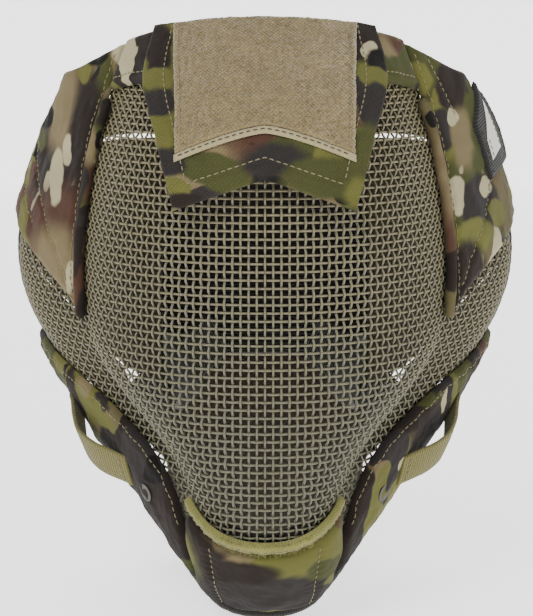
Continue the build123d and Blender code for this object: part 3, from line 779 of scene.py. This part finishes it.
def strip(name, spot, t0, t1, rows, cols, mat, body, node=None, point=None, bump=None, thread=None, rows_of=(),
          area_ok=True, round_mm=0.6, declare=True):
    """A sheet of even thickness with rounded edges. bump(a, b, edge, p) lifts both faces."""
    ss, rr = np.meshgrid(np.linspace(0, 1, rows + 1), np.linspace(0, 1, cols + 1), indexing="ij")
    x, s = spot(rr, ss)
    mid = point(x, s, np.full(x.shape, (t0 + t1) / 2))
    a, b = arcs(mid)
    edge = np.minimum(np.minimum(a, a[:, -1:] - a), np.minimum(b, b[-1:] - b))
    soft = np.sqrt(1 - (1 - np.clip(edge / round_mm, 0.0, 1)) ** 2)
    lift = bump(a, b, edge, mid) if bump else 0 * a
    both = lift if not isinstance(lift, tuple) else lift[0]
    face = 0 * a if not isinstance(lift, tuple) else lift[1]
    half = (t1 - t0) / 2
    outer = point(x, s, (t0 + t1) / 2 + both + half * (0.35 + 0.65 * soft) + face)
    inner = point(x, s, (t0 + t1) / 2 + both - half * (0.35 + 0.65 * soft))
    o = closed(name, outer, inner, mat, np.stack([a, b], -1) * 0.001)
    give(o, body, node)
    up = unit(outer - inner)
    if rows_of and thread:
        give(mesh_object(name + "_stitches", *join([stitch_row(outer, up, l) for l in rows_of]), thread), body)
    if declare:
        w, l = a[:, -1].max() * 0.001, b[-1].max() * 0.001
        w, l = max(w, 0.0101), max(l, 0.0101)
        SHEETS.append((name, round(w * 1000, 1), round(l * 1000, 1)))
    return outer, up


SHEETS = []

# ---------------------------------------------------------------- forehead flap
knots = [L(np.array(0.0), np.array(v), np.array(SKIN + COVER_T + GAP + mix(5.5, 0.4, (v - 6) / 2)))
         for v in (7.93, 7.6, 7.2, 6.8, 6.4, 6.0)]
FLAP = Path(knots)


def flap_surface(x, s):
    p = FLAP(s)
    return np.stack([x + 0 * s, p[..., 1] + mix(0.0058, 0.0048, s) * x * x, p[..., 2] - 0.0018 * (1 - s) * x * x], -1)


flap_point = offset(flap_surface, np.array([0, -1.0, 0.0]))


def depth_at(z):
    s = np.linspace(0, 1, 2001)
    return float(np.interp(-z, -FLAP(s)[:, 2], s))


FLAP_HALF = [46.5, 51.0, 44.5, 37.0]


def flap_spot(halves, corner_z, notch_z, top, curve=1.0):
    sc, sn = depth_at(corner_z), depth_at(notch_z)

    def spot(r, s):
        across = 2 * r - 1
        down = mix(top, mix(sn, sc, np.abs(across) ** curve), s)
        return across * fair(halves, down / sc * (len(halves) - 1)), down
    return spot


def flap_bump(a, b, edge, p):
    low = np.clip(b / np.maximum(b[-1:], 1) - 0.35, 0, 1)
    wave = 0.9 * low * noise(p, 34, 301) + 0.25 * noise(p, 12, 302)
    hem = 0.45 * (1 / (1 + np.exp((edge - 8.5) / 0.35)))
    line = -0.35 * np.exp(-((edge - 7.6) / 0.7) ** 2)
    return wave, hem + line + 0.12 * noise(p, 5, 303)


IN, HEM = 0.085, 0.10
flap_grid, flap_up = strip("forehead_flap_soft", flap_spot(FLAP_HALF, 52, 65, 0.0), 1.3, 2.5, 110, 120, CAMO_FLAP, "flap",
                           "forehead_flap", flap_point, flap_bump, THREAD,
                           [[(0.09, 0.02), (0.09, 0.5), (0.1, 0.905)], [(0.91, 0.02), (0.91, 0.5), (0.9, 0.905)],
                            [(0.1, 0.905), (0.5, 0.885), (0.9, 0.905)]])
strip("flap_lining_soft", flap_spot([h - 2 for h in FLAP_HALF], 55, 67, 0.0), 0.0, 1.0, 60, 60, LINING, "flap", "flap_lining",
      flap_point, lambda a, b, edge, p: 0.9 * np.clip(b / np.maximum(b[-1:], 1) - 0.35, 0, 1) * noise(p, 34, 301))


def panel_bump(a, b, edge, p):
    low = np.clip(b / np.maximum(b[-1:], 1) - 0.5, 0, 1)
    return 0.3 * low * noise(p, 34, 301), 0.3 * noise(p, 3.0, 311) + 0.25 * noise(p, 1.4, 312) + 0.3 * noise(p, 20, 313)


panel_grid, panel_up = strip("flap_loop_panel_soft", flap_spot([38, 36], 75, 86, 0.02, 1.35), 2.8, 4.4, 90, 130, PILE, "flap",
                             "flap_loop_panel", flap_point, panel_bump, None, ())
hairs = []
for i in range(9000):
    r0, s0 = np.array([rng.uniform(0.015, 0.985)]), np.array([rng.uniform(0.01, 0.985)])
    p0, n0 = sample(panel_grid, r0, s0)[0], unit(sample(panel_up, r0, s0)[0])
    side = unit(np.cross(n0, rng.normal(size=3)))
    w, h = rng.uniform(0.3, 0.8), rng.uniform(0.35, 0.85)
    t = np.linspace(0, math.pi, 5)[:, None]
    path = p0 - n0 * 0.15 + side * w * (1 - np.cos(t)) / 2 + n0 * h * np.sin(t)
    hairs.append(tube(path, np.full(5, 0.085), np.tile(np.cross(n0, side), (5, 1)), 3, False))
give(mesh_object("loop_pile_fibres", *join(hairs), PILE), "flap", None)


def panel_edge_spot(r, s):
    x = mix(-36.5, 36.5, r)
    arch = mix(depth_at(86), depth_at(75), (np.abs(x) / 36.5) ** 1.35)
    return x, arch + mix(0.004, 0.036, s)


strip("loop_panel_edging_soft", panel_edge_spot, 2.8, 4.3, 8, 110, TAN_TAPE, "flap", "loop_panel_edging",
      flap_point, lambda a, b, e, p: (0 * a, 0.15 * noise(p, 6, 320)), DARK_THREAD, [[(0.02, 0.5), (0.98, 0.5)]],
      round_mm=0.9, declare=False)
for sgn, name in ((0.012, "r"), (0.988, "l")):
    v_, q_ = stitch_row(panel_grid, panel_up, [(sgn + (0.02 if sgn < 0.5 else -0.02), 0.03), (sgn + (0.02 if sgn < 0.5 else -0.02), 0.97)], lift=0.55)
    give(mesh_object("panel_side_stitches_" + name, v_, q_, THREAD), "flap")

# ---------------------------------------------------------------- jaw loops, tab and label
for k, side in ((-1, "right"), (1, "left")):
    def loop_point(u, v, t):
        f = np.clip((np.abs(u) - 1.42) / 0.26, 0, 1)
        return L(u, v, t + SKIN + COVER_T + GAP + 8.0 * np.sin(np.pi * f) ** 1.3)
    strip(side + "_jaw_loop_soft", lambda r, s: (k * mix(1.42, 1.68, s), mix(0.95, 1.5, r)), 0, 1.8, 60, 30, OLIVE_WEB,
          "mask", side + "_jaw_loop", loop_point,
          lambda a, b, e, p: (0.15 * noise(p, 14, 330), 0.12 * np.sin(a * 2 * math.pi / 1.6)), THREAD,
          [[(0.08, 0.07), (0.92, 0.07)], [(0.08, 0.93), (0.92, 0.93)]])
    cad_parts[side + "_loop_grommet"].data.materials.clear()
    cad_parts[side + "_loop_grommet"].data.materials.append(METAL)
    for node, mat in ((side + "_slider", PLASTIC),):
        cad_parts[node].data.materials.clear()
        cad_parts[node].data.materials.append(mat)

TAB_T = SKIN + COVER_T + GAP


def tab_point(u, v, t):
    f = np.clip((np.abs(u) - 1.56) / 0.24, 0, 1)
    g = np.clip((v - 6.1) / 1.5, 0.02, 0.98)
    return L(u, v, t + 0.8 + 3.6 * f**1.5 * np.sin(np.pi * g) ** 0.6)


def tab_spot(lo_u, hi_u, inset):
    return lambda r, s: (mix(lo_u, hi_u, r), mix(mix(6.1, 6.25, r) + inset, mix(7.05, 7.7, r) - inset, s))


strip("side_tab_soft", tab_spot(1.56, 1.8, 0), TAB_T, TAB_T + 2.6, 70, 34, BLACK_WEB, "mask",
      "side_tab", tab_point, lambda a, b, e, p: (0 * a, 0.12 * np.sin(a * 2 * math.pi / 1.5)), DARK_THREAD,
      [[(0.1, 0.06), (0.1, 0.94)], [(0.9, 0.05), (0.9, 0.95)]], round_mm=1.2)
strip("side_tab_label_soft", tab_spot(1.61, 1.73, 0.3), TAB_T + 2.7, TAB_T + 3.2, 40, 16, LABEL,
      "mask", "side_tab_label", tab_point, None, THREAD, [[(0.1, 0.06), (0.1, 0.94)], [(0.9, 0.06), (0.9, 0.94)]],
      declare=False)

# ---------------------------------------------------------------- harness
CROWN = Path([(0, y, z) for y, z in [(-84, 119), (-62, 122), (-34, 117), (-12, 99), (0, 72), (5, 40), (6, 5), (6, -34)]])


def crown_surface(x, s):
    p = CROWN(s)
    return np.stack([x + 0 * s, p[..., 1] - 0.0035 * s * x * x, p[..., 2] - 0.002 * (1 - s) * x * x], -1)


crown_point = offset(crown_surface, np.array([0, 1.0, 1.0]))


def crown_spot(lo, hi, half_lo, half_hi):
    return lambda r, s: ((2 * r - 1) * mix(half_lo, half_hi, s * s * (3 - 2 * s)), mix(lo, hi, s))


strip("crown_strap_soft", crown_spot(0.01, 0.99, 28, 60), 0, 3, 140, 60, ELASTIC, "harness", "crown_strap",
      crown_point, lambda a, b, e, p: (0.3 * noise(p, 40, 340), 0.18 * np.sin(b * 2 * math.pi / 1.8)), DARK_THREAD,
      [[(0.05, 0.03), (0.05, 0.97)], [(0.95, 0.03), (0.95, 0.97)]], round_mm=1.4)
strip("back_pad_loop_field_soft", crown_spot(0.86, 0.98, 46, 46), 3.3, 4.9, 30, 90, DARK_PILE, "harness",
      "back_pad_loop_field", crown_point, lambda a, b, e, p: (0 * a, 0.2 * noise(p, 2.0, 350)), THREAD,
      [[(0.02, 0.08), (0.98, 0.08)], [(0.02, 0.92), (0.98, 0.92)]], round_mm=0.8)


def nape(x, z, t):
    return np.stack([x + 0 * z, 9.8 - 0.0035 * x * x + t, z + 0 * x], -1)


# the back pad's dark khaki is partly painted shade for the mask's shaded inside seen through the lower mesh
pad("back_pad_soft", lambda r, s: ((2 * r - 1) * 52 * (1 - 0.22 * s * s), mix(-32.6, -121, s)), 0, 7, 80, 90, KHAKI_FOAM_AND_SHADE,
    "harness", "back_pad", round_mm=6, wrinkle=0.3, seed=360, point=nape, puff=0.0,
    seams=[([(0.2, 0.04), (0.24, 0.96)], 1.4), ([(0.5, 0.04), (0.5, 0.96)], 1.4), ([(0.8, 0.04), (0.76, 0.96)], 1.4)],
    thread=DARK_THREAD)

BACK, FRONT = np.array([22.0, -4, -20]), np.array([68.0, -50, -57])
SPAN = float(length(FRONT - BACK))
for k, side in ((-1, "right"), (1, "left")):
    flip = np.array([k, 1.0, 1.0])
    a0 = BACK * flip
    line = unit((FRONT - BACK) * flip)
    out = unit(np.array([-line[1] * k, line[0] * k, 0.0]) * 1.0)
    out = out * (1 if out[1] > 0 else -1)
    wide = np.cross(out, line)

    def bar(x, d, t):
        return (a0 + line * np.asarray(d)[..., None] + wide * np.asarray(x)[..., None]
                + out * np.asarray(t)[..., None])
    strip(side + "_lower_strap_soft", lambda r, s: ((2 * r - 1) * 12.5, s * SPAN), 0, 2, 70, 26, BLACK_WEB,
          side + "_strap", side + "_lower_strap", bar,
          lambda a, b, e, p: (0.0 * a, 0.12 * np.sin(a * 2 * math.pi / 1.7)), DARK_THREAD,
          [[(0.08, 0.03), (0.92, 0.03)], [(0.08, 0.08), (0.92, 0.08)]], round_mm=0.9)
    strip(side + "_strap_hook_end_soft", lambda r, s: ((2 * r - 1) * 11, mix(SPAN - 24, SPAN - 2, s)), 2.3, 3.8, 44, 40, HOOK,
          side + "_strap", side + "_strap_hook_end", bar,
          lambda a, b, e, p: (0 * a, 0.2 * np.sin(a * 2 * math.pi / 1.4) * np.sin(b * 2 * math.pi / 1.4)), DARK_THREAD,
          [[(0.08, 0.06), (0.92, 0.06)], [(0.08, 0.94), (0.92, 0.94)]])

# ---------------------------------------------------------------- floor, light and camera
m = Mat("pale_floor")
pale = m.mix(m.noise(m.obj, 3.0, 2.0), (0.86, 0.86, 0.86, 1), (0.90, 0.90, 0.90, 1))
FLOOR = m.finish(pale, 0.9, m.noise(m.obj, 60.0), 0.0001, spec=0.1)
m.bsdf.inputs["Emission Color"].default_value = (1, 1, 1, 1)
m.bsdf.inputs["Emission Strength"].default_value = 1.3
z = before[0][2] * 1000 - 0.5
floor = mesh_object("floor", [(-3000, -3000, z), (3000, -3000, z), (3000, 3000, z), (-3000, 3000, z)], [[0, 1, 2, 3]], FLOOR)
wall = mesh_object("backdrop", [(-3000, 2200, z), (3000, 2200, z), (3000, 2200, 3500), (-3000, 2200, 3500)], [[0, 1, 2, 3]], FLOOR)

world = bpy.data.worlds.new("studio")
bpy.context.scene.world = world
world.use_nodes = True
world.node_tree.nodes["Background"].inputs[0].default_value = (1.0, 1.0, 1.0, 1)
world.node_tree.nodes["Background"].inputs[1].default_value = 0.75


def area_light(name, at, to, size, power):
    data = bpy.data.lights.new(name, "AREA")
    data.shape, data.size, data.energy = "DISK", size, power
    o = bpy.data.objects.new(name, data)
    bpy.context.scene.collection.objects.link(o)
    o.location = at
    o.rotation_euler = (Vector(to) - Vector(at)).to_track_quat("-Z", "Y").to_euler()


area_light("key", (-0.7, -1.3, 1.3), (0, -0.06, 0), 0.9, 22)
area_light("fill", (1.1, -1.1, 0.5), (0, -0.06, 0), 1.0, 9)

TILT = math.radians(8)
cam = bpy.data.cameras.new("camera")
cam.sensor_fit, cam.sensor_width, cam.lens = "HORIZONTAL", 36, 36 * 2231 / 533
cam.shift_x, cam.shift_y = 1.5 / 533, 4 / 533
cam.clip_start = 0.05
eye = bpy.data.objects.new("camera", cam)
bpy.context.scene.collection.objects.link(eye)
eye.location = (0, -0.075 - math.cos(TILT), math.sin(TILT))
eye.rotation_euler = (math.pi / 2 - TILT, 0, 0)
bpy.context.scene.camera = eye

print("sheets", SHEETS)
